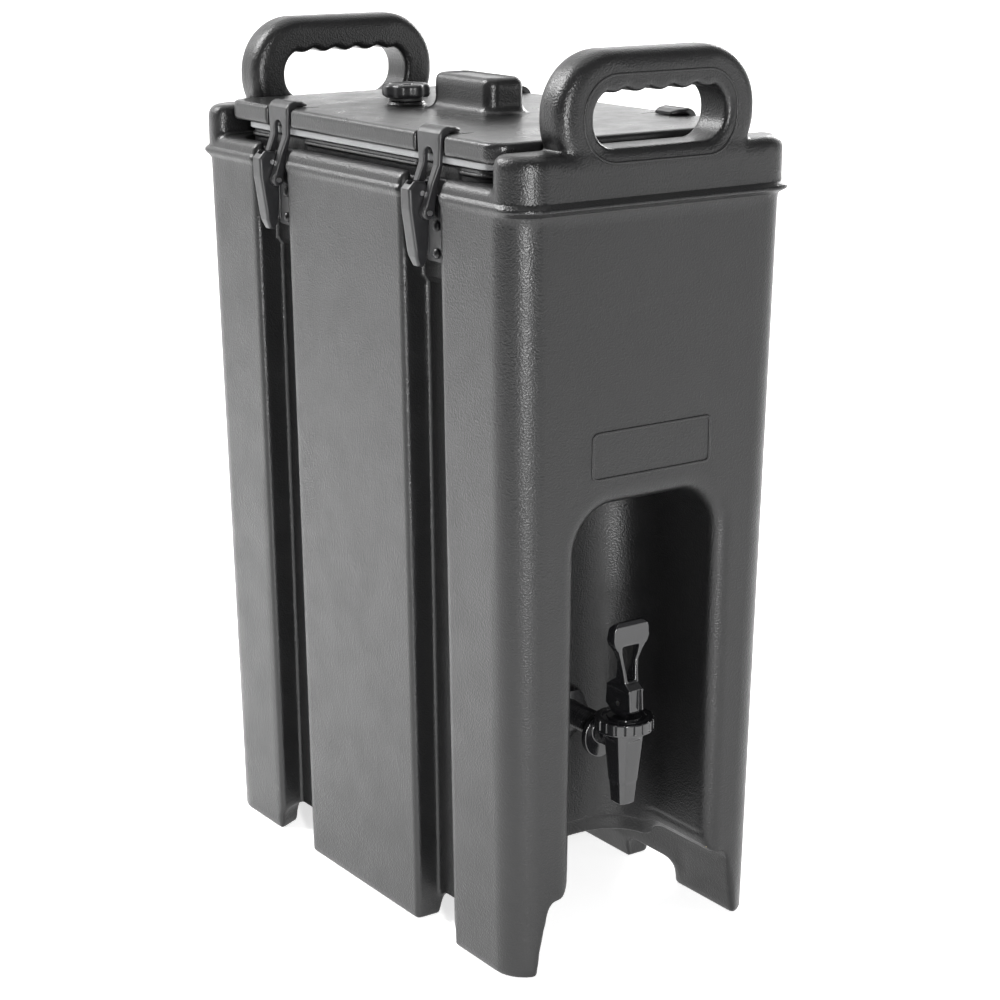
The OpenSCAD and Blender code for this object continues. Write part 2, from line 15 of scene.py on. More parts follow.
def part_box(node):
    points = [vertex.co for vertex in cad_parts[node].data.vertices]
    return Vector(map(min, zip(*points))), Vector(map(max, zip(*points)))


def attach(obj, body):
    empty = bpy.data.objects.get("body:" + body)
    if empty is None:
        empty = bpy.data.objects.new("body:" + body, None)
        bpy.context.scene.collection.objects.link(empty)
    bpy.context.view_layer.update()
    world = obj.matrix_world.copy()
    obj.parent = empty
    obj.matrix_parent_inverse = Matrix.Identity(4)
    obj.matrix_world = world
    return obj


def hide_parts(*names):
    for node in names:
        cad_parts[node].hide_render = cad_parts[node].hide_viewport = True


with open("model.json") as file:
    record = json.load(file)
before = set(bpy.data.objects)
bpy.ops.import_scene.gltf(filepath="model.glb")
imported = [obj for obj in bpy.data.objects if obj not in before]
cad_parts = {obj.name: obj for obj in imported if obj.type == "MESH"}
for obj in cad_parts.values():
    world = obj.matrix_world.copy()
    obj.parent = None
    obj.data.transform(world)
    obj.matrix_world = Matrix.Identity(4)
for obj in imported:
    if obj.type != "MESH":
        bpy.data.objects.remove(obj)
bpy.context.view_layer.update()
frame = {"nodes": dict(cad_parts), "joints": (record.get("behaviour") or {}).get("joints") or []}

MM = 0.001
CORNERS = {"fl": (-1, -1), "bl": (-1, 1), "fr": (1, -1), "br": (1, 1)}
JOINTS = {joint["name"]: joint for joint in frame["joints"]}
FLATNESS = 0.01  # how readily flat neighbouring faces are merged, from 0 to 1
CHUNK = 4e6  # grid cells sampled at a time
LEAST_SLOPE = 0.2  # keeps a point from being thrown far where the field is nearly level
FINE = (0.8, 0.5)  # quick and full voxel of a small piece


def box_mm(node):
    """A CAD node's lowest and highest corners in millimetres."""
    low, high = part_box(node)
    return [v / MM for v in low], [v / MM for v in high]


# ---------------------------------------------------------------- distance fields
# Every shape is a signed distance in millimetres, negative inside, made of a few rounded
# outlines joined and cut with a soft edge, as moulded plastic has.


def join(a, b, soft=0.0):
    """Union of two distances, with a fillet of about the soft radius."""
    if soft <= 0:
        return np.minimum(a, b)
    h = np.maximum(soft - np.abs(a - b), 0) / soft
    return np.minimum(a, b) - h * h * soft * 0.25


def meet(a, b, soft=0.0):
    """Intersection of two distances, with a rounded edge."""
    return -join(-a, -b, soft)


def cut(a, b, soft=0.0):
    """The first distance with the second taken away, with a rounded edge."""
    return meet(a, -b, soft)


def rect(x, y, half_x, half_y, r):
    """Distance to a rounded rectangle centred on zero."""
    qx = np.abs(x) - (half_x - r)
    qy = np.abs(y) - (half_y - r)
    outside = np.hypot(np.maximum(qx, 0), np.maximum(qy, 0))
    return outside + np.minimum(np.maximum(qx, qy), 0) - r


def slab(v, low, high):
    """Distance to the space between two planes."""
    return np.abs(v - (low + high) / 2) - (high - low) / 2


def disc(x, y, r):
    """Distance to a circle centred on zero."""
    return np.hypot(x, y) - r


def outline(x, y, points):
    """Distance to a closed polygon."""
    best = np.full(np.broadcast(x, y).shape, 1e9)
    inside = np.ones(best.shape)
    for (ax, ay), (bx, by) in zip(points, points[1:] + points[:1]):
        ex, ey = bx - ax, by - ay
        wx, wy = x - ax, y - ay
        t = np.clip((wx * ex + wy * ey) / (ex * ex + ey * ey), 0, 1)
        best = np.minimum(best, (wx - ex * t) ** 2 + (wy - ey * t) ** 2)
        above, below = y >= ay, y < by
        left = ex * wy > ey * wx
        crossing = (above & below & left) | (~above & ~below & ~left)
        inside = np.where(crossing, -inside, inside)
    return inside * np.sqrt(best)


def meshed(name, field, low, high, voxel):
    """A mesh of where the field is zero, inside the box, in metres, with the field's own normals."""
    low, high = np.array(low, float) - 2 * voxel, np.array(high, float) + 2 * voxel
    count = np.ceil((high - low) / voxel).astype(int) + 1
    axes = [low[i] + voxel * np.arange(count[i]) for i in range(3)]
    values = np.empty(count, np.float32)
    step = max(1, int(CHUNK / (count[0] * count[1])))
    for k in range(0, count[2], step):
        x, y, z = np.meshgrid(axes[0], axes[1], axes[2][k : k + step], indexing="ij", sparse=True)
        values[:, :, k : k + step] = field(x, y, z)
    band = 3 * voxel
    grid = openvdb.FloatGrid(band)
    grid.copyFromArray(np.clip(values, -band, band))
    points, triangles, quads = grid.convertToPolygons(isovalue=0.0, adaptivity=FLATNESS)
    points = low + voxel * points.astype(float)
    eps = 0.05 + voxel * 0.15
    reach = voxel * 0.6

    def slope(p):
        """The field's gradient at each point."""
        g = np.empty_like(p)
        for i in range(3):
            d = np.zeros(3)
            d[i] = eps
            g[:, i] = field(*(p + d).T) - field(*(p - d).T)
        return g / (2 * eps)

    # two Newton steps put each point on the surface itself
    for _ in range(2):
        g = slope(points)
        size = np.maximum((g * g).sum(1), LEAST_SLOPE)
        move = g * (field(*points.T) / size)[:, None]
        points = points - np.clip(move, -reach, reach)
    g = slope(points)
    normals = g / np.maximum(np.linalg.norm(g, axis=1), 1e-6)[:, None]
    faces = [tuple(f[::-1]) for f in quads.tolist()] + [tuple(f[::-1]) for f in triangles.tolist()]
    mesh = bpy.data.meshes.new(name)
    mesh.from_pydata((points * MM).tolist(), [], faces)
    mesh.validate()
    mesh.polygons.foreach_set("use_smooth", [True] * len(mesh.polygons))
    mesh.update()
    sample = mesh.polygons[0]
    if np.dot(normals[sample.vertices[0]], np.array(sample.normal)) < 0:
        mesh.flip_normals()
    if len(mesh.vertices) == len(normals):
        mesh.normals_split_custom_set_from_vertices(normals.tolist())
    return mesh


def piece(name, mesh, body, slot, *nodes):
    """An object of this mesh that rides the body and stands for the nodes; the slot is not used."""
    made = bpy.data.objects.new(name, mesh)
    bpy.context.scene.collection.objects.link(made)
    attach(made, body)
    if nodes:
        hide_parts(*nodes)


def moulded(name, field, low, high, voxels, finish, body, slot, *nodes):
    """A piece meshed from its field, with its finish; voxels are the quick and the full size."""
    quick, full = voxels
    mesh = meshed(name, field, low, high, full)
    mesh.materials.append(finish)
    piece(name, mesh, body, slot, *nodes)


# ---------------------------------------------------------------- materials


class Finish:
    """A node material: one Principled shader with procedural colour, roughness and bump."""

    def __init__(self, name):
        self.material = bpy.data.materials.new(name)
        self.material.use_nodes = True
        self.nodes = self.material.node_tree.nodes
        self.links = self.material.node_tree.links
        self.shader = self.nodes["Principled BSDF"]
        self.coords = self.nodes.new("ShaderNodeTexCoord").outputs["Object"]
        self.height = None

    def set(self, **values):
        for key, value in values.items():
            self.shader.inputs[key.replace("_", " ")].default_value = value

    def noise(self, scale, detail=2.0, rough=0.5, stretch=None):
        node = self.nodes.new("ShaderNodeTexNoise")
        node.inputs["Scale"].default_value = scale
        node.inputs["Detail"].default_value = detail
        node.inputs["Roughness"].default_value = rough
        source = self.coords
        if stretch:
            mapping = self.nodes.new("ShaderNodeMapping")
            mapping.inputs["Scale"].default_value = stretch
            self.links.new(self.coords, mapping.inputs["Vector"])
            source = mapping.outputs["Vector"]
        self.links.new(source, node.inputs["Vector"])
        return node.outputs["Fac"]

    def cells(self, scale):
        node = self.nodes.new("ShaderNodeTexVoronoi")
        node.feature = "SMOOTH_F1"
        node.inputs["Scale"].default_value = scale
        self.links.new(self.coords, node.inputs["Vector"])
        return node.outputs["Distance"]

    def ramp(self, source, *stops):
        node = self.nodes.new("ShaderNodeValToRGB")
        ramp = node.color_ramp
        while len(ramp.elements) < len(stops):
            ramp.elements.new(0.5)
        for element, (place, colour) in zip(ramp.elements, stops):
            element.position = place
            value = colour if isinstance(colour, tuple) else (colour, colour, colour)
            element.color = (*value, 1)
        self.links.new(source, node.inputs["Fac"])
        return node.outputs["Color"]

    def mix(self, fac, a, b):
        node = self.nodes.new("ShaderNodeMix")
        node.data_type = "RGBA"
        for socket, value in ((node.inputs[0], fac), (node.inputs[6], a), (node.inputs[7], b)):
            if isinstance(value, bpy.types.NodeSocket):
                self.links.new(value, socket)
            elif isinstance(value, tuple):
                socket.default_value = (*value, 1)
            else:
                socket.default_value = value
        return node.outputs[2]

    def edge(self):
        """Above a half where the surface turns sharply outward."""
        node = self.nodes.new("ShaderNodeNewGeometry")
        return node.outputs["Pointiness"]

    def link(self, name, source):
        self.links.new(source, self.shader.inputs[name])

    def bump(self, source, strength, distance):
        node = self.nodes.new("ShaderNodeBump")
        node.inputs["Strength"].default_value = strength
        node.inputs["Distance"].default_value = distance
        self.links.new(source, node.inputs["Height"])
        if self.height is not None:
            self.links.new(self.height, node.inputs["Normal"])
        self.height = node.outputs["Normal"]
        self.links.new(self.height, self.shader.inputs["Normal"])


def shade(tone, factor):
    """The same colour, darker or lighter."""
    return tuple(c * factor for c in tone)


def grained_shell(name, tone, grain, rough):
    """Satin moulded polyethylene with a fine orange-peel grain, smoother along its edges."""
    f = Finish(name)
    low, high = rough
    fine = f.noise(1700, 2, 0.6)
    colour = f.ramp(f.noise(9, 3, 0.6), (0.3, shade(tone, 0.88)), (0.7, shade(tone, 1.12)))
    flecks = f.ramp(fine, (0.3, 0.0), (0.9, 0.35))
    edges = f.ramp(f.edge(), (0.5, 0.0), (0.62, 1.0))
    uneven = f.ramp(f.noise(40, 4, 0.65), (0.35, low), (0.65, high))
    f.link("Base Color", f.mix(flecks, colour, shade(tone, 1.5)))
    f.link("Roughness", f.mix(edges, uneven, (low, low, low)))
    f.bump(f.cells(900), grain, 0.0006)
    f.bump(fine, grain * 0.5, 0.0003)
    f.bump(f.noise(45, 2, 0.5), 0.02, 0.002)
    f.set(IOR=1.5)
    return f.material


def smooth_plastic(name, tone, rough, bump, shine=0.5):
    """Injection-moulded plastic: smooth, a little uneven, with fine handling marks."""
    f = Finish(name)
    low, high = rough
    marks = f.noise(700, 2, 0.5, stretch=(1, 1, 0.25))
    f.link("Base Color", f.ramp(f.noise(30, 3, 0.6), (0.3, shade(tone, 0.85)), (0.7, shade(tone, 1.2))))
    f.link("Roughness", f.ramp(f.noise(120, 4, 0.7), (0.35, low), (0.65, high)))
    f.bump(marks, bump, 0.0004)
    f.bump(f.noise(90, 2, 0.5), bump, 0.001)
    f.set(IOR=1.5, Specular_IOR_Level=shine)
    return f.material


def soft_rubber(name, tone):
    """Matt rubber with a powdery surface."""
    f = Finish(name)
    f.link("Base Color", f.ramp(f.noise(60, 4, 0.6), (0.3, shade(tone, 0.9)), (0.7, tone)))
    f.link("Roughness", f.ramp(f.noise(300, 2, 0.6), (0.3, 0.5), (0.7, 0.65)))
    f.bump(f.noise(1200, 2, 0.6), 0.12, 0.0003)
    return f.material


def brushed_metal(name, tone):
    """Steel with fine level marks."""
    f = Finish(name)
    lines = f.noise(300, 3, 0.6, stretch=(1, 1, 30))
    f.link("Base Color", f.ramp(f.noise(50, 3), (0.3, shade(tone, 0.85)), (0.7, tone)))
    f.link("Roughness", f.ramp(lines, (0.3, 0.25), (0.7, 0.42)))
    f.bump(lines, 0.1, 0.0002)
    f.set(Metallic=1.0)
    return f.material


def foam_finish(name, tone):
    """Pale foam with visible cells."""
    f = Finish(name)
    f.link("Base Color", f.ramp(f.cells(400), (0.0, shade(tone, 0.8)), (0.6, tone)))
    f.link("Roughness", f.ramp(f.noise(200), (0.3, 0.8), (0.7, 0.95)))
    f.bump(f.cells(500), 0.5, 0.001)
    return f.material


SHELL = grained_shell("shell_black", (0.006, 0.006, 0.0063), grain=0.42, rough=(0.29, 0.38))
LID = grained_shell("lid_black", (0.009, 0.009, 0.0093), grain=0.3, rough=(0.27, 0.36))
TANK = smooth_plastic("tank_dark", (0.035, 0.035, 0.036), rough=(0.35, 0.5), bump=0.08)
LATCH = smooth_plastic("latch_black", (0.014, 0.014, 0.015), rough=(0.28, 0.42), bump=0.05)
TAP = smooth_plastic("tap_black", (0.009, 0.009, 0.010), rough=(0.08, 0.18), bump=0.012, shine=0.85)
GASKET = soft_rubber("gasket_grey", (0.4, 0.405, 0.41))
SILICONE = soft_rubber("silicone_pale", (0.8, 0.78, 0.72))
WASHER = soft_rubber("washer_black", (0.03, 0.03, 0.03))
PIN = brushed_metal("pin_steel", (0.6, 0.6, 0.61))
STEEL = brushed_metal("spring_steel", (0.6, 0.6, 0.61))
NUT = smooth_plastic("nut_white", (0.75, 0.75, 0.73), rough=(0.3, 0.45), bump=0.05)
FOAM = foam_finish("foam_yellow", (0.85, 0.72, 0.42))

# ---------------------------------------------------------------- outer shell

SHELL_LOW, SHELL_HIGH = box_mm("outer_shell")
TOP = SHELL_HIGH[2]
BEAD_X, BEAD_Y = SHELL_HIGH[0], SHELL_HIGH[1]
# heights of the wall's corners, with the half width and half depth at each
WALL_Z = [0, 513, 517, 520.5, 522.8, 525.5, 534, TOP]
WALL_X = [105, 112.9, 113.1, BEAD_X - 0.1, BEAD_X - 0.1, 112.4, 112.4, 112.4]
WALL_Y = [195.5, 202, 202.8, BEAD_Y - 0.1, BEAD_Y - 0.1, 206, 206, 206]
CORNER_R = 24
SKIN = 4
# the upright grooves in the long sides, and the height where each gets shallower for its latch
GROOVE_Y = 97
GROOVE_HALF = 22
PAD_Z = 465
# the mouth and the rim round it, with the heights of the rim, the gasket's seat and the raised end walls
MOUTH_HALF = (84.2, 148.7)
RIM_HALF = (97.5, 158)
RIM_Z = 534
SEAT_Z = 541
END_Z = 555
END_IN = 174
# the arch handles and their finger holes
HANDLE_Y = (174.5, 204.6)
HANDLE_HALF = 78.5
HANDLE_FOOT = END_Z - 22
HOLE_HALF = 53
HOLE_Z = (556, 592)
HOLE_MID = (HOLE_Z[0] + HOLE_Z[1]) / 2
HOLE_RISE = (HOLE_Z[1] - HOLE_Z[0]) / 2
BUMP_PITCH = 18.5
# the alcove for the tap, with the lower edge of its wall
ALCOVE_HALF = 58
ALCOVE_Z = 324
ALCOVE_Y = 100
LIP_Z = 44
# the hollow between the feet, and the gaps in the long sides that open into it
FLOOR_Z = 53
TUNNEL_BACK = 183
GAP_Z = 19
GAP_REACH = 133
GAP_IN = 70
# the boss and the hole for the tap's shank
BOSS_Z = 143
BOSS_R = 21
SHANK_Z = 148
SHANK_HOLE_R = 9.2
# the blank panel on the front
LABEL_HALF = (50, 17)
LABEL_Z = 359


def wall(x, y, z):
    """The upright wall all round, with the bead near its top."""
    return rect(x, y, np.interp(z, WALL_Z, WALL_X), np.interp(z, WALL_Z, WALL_Y), CORNER_R)


def grooves(x, y, z):
    """The upright grooves, shallower where the latches are fixed."""
    floor = np.interp(z, [0, PAD_Z - 5, PAD_Z, TOP], [87, 91.5, 95, 95])
    return meet(np.abs(np.abs(y) - GROOVE_Y) - GROOVE_HALF, floor - np.abs(x), 3)


def alcove(x, y, z, wider=0.0):
    """The round-topped hollow in the front."""
    front = rect(x, z, ALCOVE_HALF + wider, ALCOVE_Z + wider, 30 + wider)
    return meet(front, y + ALCOVE_Y - wider, 44)


def handle(x, y, z):
    """One arch, on both ends by symmetry, with its foot inside the end wall."""
    arch = rect(x, z - (TOP + HANDLE_FOOT) / 2, HANDLE_HALF, (TOP - HANDLE_FOOT) / 2, 40)
    return meet(arch, slab(np.abs(y), *HANDLE_Y), 11)


def finger_hole(x, y, z):
    """The hole through an arch, with finger bumps along its top."""
    hole = rect(x, z - HOLE_MID, HOLE_HALF, HOLE_RISE, 17)
    near = np.clip(np.round(x / BUMP_PITCH), -2, 2) * BUMP_PITCH
    bumps = disc(x - near, z - (HOLE_Z[1] + 8.1), 10.5)
    hole = cut(hole, bumps, 2.5)
    return meet(hole, END_IN - 6 - np.abs(y))


def bell(x, y, z):
    """The opening's flare at the foot of the front wall."""
    half = np.interp(z, [-1, 18, 34, 45, 51.5, 57, 64], [85, 83.5, 80, 74.5, 67, 61, 57])
    return meet(meet(np.abs(x) - half, z - 66, 1), y + 128, 16)


def tunnel(x, y, z):
    """The hollow between the feet, from the alcove to the back wall."""
    half = np.interp(z, [-1, 18, 30, 45, 53], [86.5, 82, 81, 79, 76])
    return meet(meet(np.abs(x) - half, z - FLOOR_Z, 6), y - TUNNEL_BACK, 6)


def rim(x, y, z):
    """The raised seat for the gasket with its fine line, and the gutter to cut round its foot."""
    edge = rect(x, y, *RIM_HALF, 18)
    seat = meet(edge, meet(z - SEAT_Z, RIM_Z - 9 - z), 1.5)
    line = np.hypot(edge, z - (RIM_Z + 3)) - 1.6
    gutter = meet(slab(edge, -2, 5.5), meet(RIM_Z - 5.5 - z, np.abs(y) - END_IN + 2), 2)
    return join(seat, line, 0.6), gutter


def outside(x, y, z):
    """The shell's outer form, before it is hollowed."""
    crown = join(z - RIM_Z, meet(z - END_Z, END_IN - np.abs(y), 7), 5)
    solid = meet(wall(x, y, z), crown, 10)
    seat, gutter = rim(x, y, z)
    solid = join(cut(solid, gutter, 3), seat, 1)
    solid = join(solid, meet(handle(x, y, z), RIM_Z - z), 3)
    solid = cut(solid, finger_hole(x, y, z), 5)
    solid = cut(solid, grooves(x, y, z), 5)
    # the low gaps that leave a foot at each corner
    reach = GAP_REACH - 0.5 * np.maximum(np.abs(x) - 80, 0)
    gap = meet(slab(np.abs(y), GROOVE_Y - GROOVE_HALF, reach), z - GAP_Z, 12)
    solid = cut(solid, meet(gap, GAP_IN - np.abs(x)), 3)
    # the alcove, a little wider at its foot
    solid = cut(solid, alcove(x, y, z), 13)
    solid = cut(solid, meet(alcove(x, y, z, 2), z - LIP_Z - 12, 1.5), 1)
    solid = cut(solid, bell(x, y, z), 5)
    return meet(solid, -z, 3)


def shell_field(x, y, z):
    """The hollow shell, with the mouth, the space under it and the hole for the tap's shank."""
    outer = outside(x, y, z)
    hollow = meet(outer + SKIN, slab(z, FLOOR_Z + SKIN, RIM_Z - 8))
    solid = cut(outer, hollow)
    under = cut(tunnel(x, y, z), meet(alcove(x, y, z) - SKIN - 3, LIP_Z - z, 3), 3)
    solid = cut(solid, under, 2)
    solid = cut(solid, meet(rect(x, y, *MOUTH_HALF, 14), RIM_Z - 12 - z), 1.5)
    boss = meet(disc(x, z - BOSS_Z, BOSS_R), slab(y, -ALCOVE_Y - 2.2, -ALCOVE_Y + 1), 1.5)
    solid = join(solid, boss, 2)
    return cut(solid, meet(disc(x, z - SHANK_Z, SHANK_HOLE_R), y), 0.5)


def label_line(x, y, z):
    """A thin raised line round a blank panel on the front."""
    face = np.interp(z, WALL_Z, WALL_Y)
    line = np.abs(rect(x, z - LABEL_Z, LABEL_HALF[0] - 1.6, LABEL_HALF[1] - 1.6, 4)) - 1.0
    return meet(line, slab(y + face, -0.75, 1.0), 0.8)


def grip_line(x, y, z):
    """A thin raised line round the finger hole on the outer face."""
    line = np.abs(rect(x, z - HOLE_MID, HOLE_HALF + 8, HOLE_RISE + 9, 25)) - 1.0
    return meet(line, slab(outside(x, y, z), -1.0, 0.6), 0.8)


def build_shell():
    """The shell, and the raised lines on it, which need a finer mesh than the shell's own."""
    moulded("shell", shell_field, SHELL_LOW, SHELL_HIGH, (3.0, 1.5), SHELL, "carrier", "shell", "outer_shell")
    for name, near, far in (("front_grip_line", -208, -202), ("back_grip_line", 202, 208)):
        low = (-HOLE_HALF - 10, near, HOLE_Z[0] - 11)
        high = (HOLE_HALF + 10, far, HOLE_Z[1] + 11)
        moulded(name, grip_line, low, high, (0.8, 0.6), SHELL, "carrier", "shell")
    low = (-LABEL_HALF[0], -203, LABEL_Z - LABEL_HALF[1])
    high = (LABEL_HALF[0], -197, LABEL_Z + LABEL_HALF[1])
    moulded("label_line", label_line, low, high, FINE, SHELL, "carrier", "shell")


# ---------------------------------------------------------------- lid

LID_LOW, LID_HIGH = box_mm("lid_shell")
LID_X, LID_Y = LID_HIGH[0], LID_HIGH[1]
LID_Z, LID_T = LID_LOW[2], 14
LID_TOP = LID_Z + LID_T
GRIP_TOP = LID_HIGH[2]
GRIP_HALF = (16, 36)
VENT = [v / MM for v in JOINTS["vent_turn"]["pos_m"][:2]]
NOTCH_DEPTH, NOTCH_HALF = 5, 17


def lid_field(x, y, z):
    """The lid's top, with a notch under each latch, the grip and the seat of the vent cap."""
    top = meet(rect(x, y, LID_X, LID_Y, 14), slab(z, LID_Z, LID_TOP), 4)
    across = np.abs(np.abs(y) - GROOVE_Y)
    notch = meet(LID_X - NOTCH_DEPTH - np.abs(x), across - NOTCH_HALF, 2)
    solid = cut(top, notch, 2)
    score = meet(slab(across, 13.9, 15.1), meet(80 - np.abs(x), LID_TOP - 0.8 - z))
    solid = cut(solid, score, 0.5)
    grip = meet(rect(x, y, *GRIP_HALF, 9), meet(z - GRIP_TOP, LID_TOP - 3 - z), 7)
    solid = join(solid, grip, 9)
    dish = meet(rect(x, y, GRIP_HALF[0] - 6, GRIP_HALF[1] - 6, 4), GRIP_TOP - 1.2 - z, 1.5)
    solid = cut(solid, dish, 1.5)
    ring = meet(disc(x - VENT[0], y - VENT[1], 13), meet(z - (LID_TOP + 3), LID_TOP - 2 - z), 1.5)
    solid = join(solid, ring, 3)
    solid = cut(solid, disc(x - VENT[0], y - VENT[1], 8.4), 0.6)
    hollow = meet(rect(x, y, LID_X - 9, LID_Y - 4, 12), z - (LID_TOP - 4))
    return cut(solid, hollow, 0.5)


def build_lid():
    """The lid's top and the pale gasket under it."""
    moulded("lid_top", lid_field, LID_LOW, LID_HIGH, (1.6, 0.9), LID, "lid", "lid", "lid_shell")
    low, high = box_mm("lid_gasket")

    def gasket(x, y, z):
        """A flat ring with rounded edges and a shallow groove round its underside."""
        ring = cut(rect(x, y, high[0], high[1], 16), rect(x, y, 79, 144, 12))
        band = meet(ring, slab(z, low[2], high[2]), 1.5)
        groove = meet(np.abs(rect(x, y, high[0] - 5, high[1] - 5, 12)) - 1.5, z - low[2] - 0.7, 0.5)
        return cut(band, meet(groove, low[2] - 1 - z), 0.3)

    moulded("gasket", gasket, low, high, (1.2, 0.8), GASKET, "lid", "gasket", "lid_gasket")


# ---------------------------------------------------------------- vent cap


def build_vent_cap():
    """A lobed knob on its plain stem."""
    low, high = box_mm("vent_cap")
    radius = (high[0] - low[0]) / 2
    knob_low = high[2] - 9.5
    lobes = 8

    def cap(x, y, z):
        dx, dy = x - VENT[0], y - VENT[1]
        turn = np.arctan2(dy, dx)
        lobe = 1.1 * (1 - np.cos(lobes * turn)) ** 1.4 * 0.5
        knob = meet(np.hypot(dx, dy) - radius + 0.1 + lobe, slab(z, knob_low, high[2]), 3.2)
        top = meet(disc(dx, dy, radius - 5.5), high[2] - 0.9 - z, 1.2)
        knob = cut(knob, top, 1.0)
        hub = meet(disc(dx, dy, 4.5), meet(z - high[2] + 0.1, high[2] - 3 - z), 0.8)
        stem = meet(disc(dx, dy, 8), slab(z, low[2], knob_low + 1))
        return join(join(knob, hub, 0.6), stem, 1.5)

    moulded("vent_knob", cap, low, high, FINE, LATCH, "vent_knob", "latch", "vent_cap")


# ---------------------------------------------------------------- latches
# Drawn for a latch on the +X side: u points outward, v runs along the body's side.

PIVOT_U, PIVOT_Z = 114, 523
HOOK_PIN_U, HOOK_PIN_Z = 113, 511
HOOK_HALF = 13.5
LEVER_HALF = 5.9
RIVET_Z = (482, 500)


def lever_field(u, v, z):
    """A hand lever that narrows downward, slotted above for the bracket's tongue."""
    side = [(PIVOT_U - 6, PIVOT_Z + 2), (PIVOT_U - 3, PIVOT_Z + 7), (PIVOT_U + 5, PIVOT_Z + 8),
            (PIVOT_U + 9.8, PIVOT_Z + 3), (PIVOT_U + 9.4, PIVOT_Z - 10), (PIVOT_U + 4.8, 482),
            (PIVOT_U + 2, 475.5), (PIVOT_U - 2, 474.6), (PIVOT_U - 4.3, 479),
            (HOOK_PIN_U - 4.8, HOOK_PIN_Z - 5), (HOOK_PIN_U - 5.2, HOOK_PIN_Z + 3)]
    profile = outline(u, z, side)
    grip = np.interp(z, [474, 486, 520, 531], [3.6, LEVER_HALF, LEVER_HALF, LEVER_HALF - 0.6])
    solid = meet(profile, np.abs(v) - grip, 2.2)
    slot = [(PIVOT_U + 6.4, PIVOT_Z + 9), (PIVOT_U + 6.8, PIVOT_Z - 9), (PIVOT_U + 3, 499),
            (PIVOT_U - 3, 491), (PIVOT_U - 14, 491), (PIVOT_U - 14, PIVOT_Z + 9)]
    solid = cut(solid, meet(outline(u, z, slot), np.abs(v) - 3.05), 0.8)
    solid = cut(solid, disc(u - PIVOT_U, z - PIVOT_Z, 1.75))
    return cut(solid, disc(u - HOOK_PIN_U, z - HOOK_PIN_Z, 1.7))


def hook_field(u, v, z):
    """Two bowed arms up from the pin, joined over a slot, bending inward to a lip on the lid."""
    lid = LID_TOP + 0.4
    strap = [(101.7, 540), (101.7, 560), (105.5, 560), (105.5, 541),
             (HOOK_PIN_U + 4, HOOK_PIN_Z + 1), (HOOK_PIN_U + 1, HOOK_PIN_Z - 4),
             (HOOK_PIN_U - 3, HOOK_PIN_Z - 3), (HOOK_PIN_U - 4.2, HOOK_PIN_Z + 1)]
    profile = join(outline(u, z, strap), disc(u - HOOK_PIN_U, z - HOOK_PIN_Z, 4.5), 1)
    bend = meet(disc(u - 98.9, z - 557.9, 6.6), meet(97.5 - u, 557 - z))
    lip = outline(u, z, [(86.2, lid), (86.4, 562.6), (92, 564.3), (99, 564.5), (104.6, 560), (104, lid)])
    profile = join(join(profile, bend), lip, 1.5)
    narrower = np.interp(z, [505, 516, 528, 546, 556], [0.8, 0.8, 2, 1, 0])
    half = HOOK_HALF - narrower
    half = np.where(u < 97, HOOK_HALF - (97 - u) ** 1.5 * 0.13, half)
    solid = meet(profile, np.abs(v) - half, 1.8)
    slot_half = np.interp(z, [505, 518, 530, 551], [6.8, 6.8, 5.6, 5.2])
    slot = meet(np.abs(v) - slot_half, meet(z - 546, 480 - z))
    slot = join(slot, disc(v, z - 546, 5.2), 0.5)
    solid = cut(solid, meet(slot, 92 - u), 1.2)
    return cut(solid, disc(u - HOOK_PIN_U, z - HOOK_PIN_Z, 1.75))


def bracket_field(u, v, z):
    """A riveted plate with two ribs and the tongue that carries the lever's pivot."""
    plate = meet(rect(v, z - 503.5, HOOK_HALF, 27.4, 4), slab(u, 95.1, 99.1), 0.8)
    web = [(98.6, 504), (PIVOT_U + 1.5, PIVOT_Z - 4.5), (PIVOT_U - 2.5, PIVOT_Z + 4.2), (98.6, 519)]
    tongue = join(outline(u, z, web), disc(u - PIVOT_U, z - PIVOT_Z, 4.9), 1)
    solid = join(plate, meet(tongue, np.abs(v) - 2.65, 0.6), 1.2)
    ribs = meet(slab(np.abs(v), 10.6, 13.2), meet(slab(z, 480, 528), slab(u, 98, 101.4)), 1.0)
    solid = join(solid, ribs, 1.0)
    solid = cut(solid, disc(u - PIVOT_U, z - PIVOT_Z, 1.7))
    for height in RIVET_Z:
        solid = cut(solid, disc(v, z - height, 2.25))
    return solid


def rivet_field(u, v, z):
    """The two domed rivets of a bracket."""
    best = None
    for height in RIVET_Z:
        shank = meet(disc(v, z - height, 2.2), slab(u, 95.2, 99.4))
        dome = meet(np.hypot(np.hypot(v, z - height), (u - 97.4)) - 4.6, 99.05 - u, 0.4)
        dome = meet(dome, disc(v, z - height, 3.6), 0.5)
        one = join(shank, dome, 0.2)
        best = one if best is None else join(best, one)
    return best


def placed(mesh, name, i, j):
    """A copy of a latch mesh at one of the four corners."""
    copy = mesh.copy()
    copy.name = name
    turn = np.diag([i, i, 1, 1]).tolist()
    copy.transform(Matrix.Translation((0, j * GROOVE_Y * MM, 0)) @ Matrix(turn))
    return copy


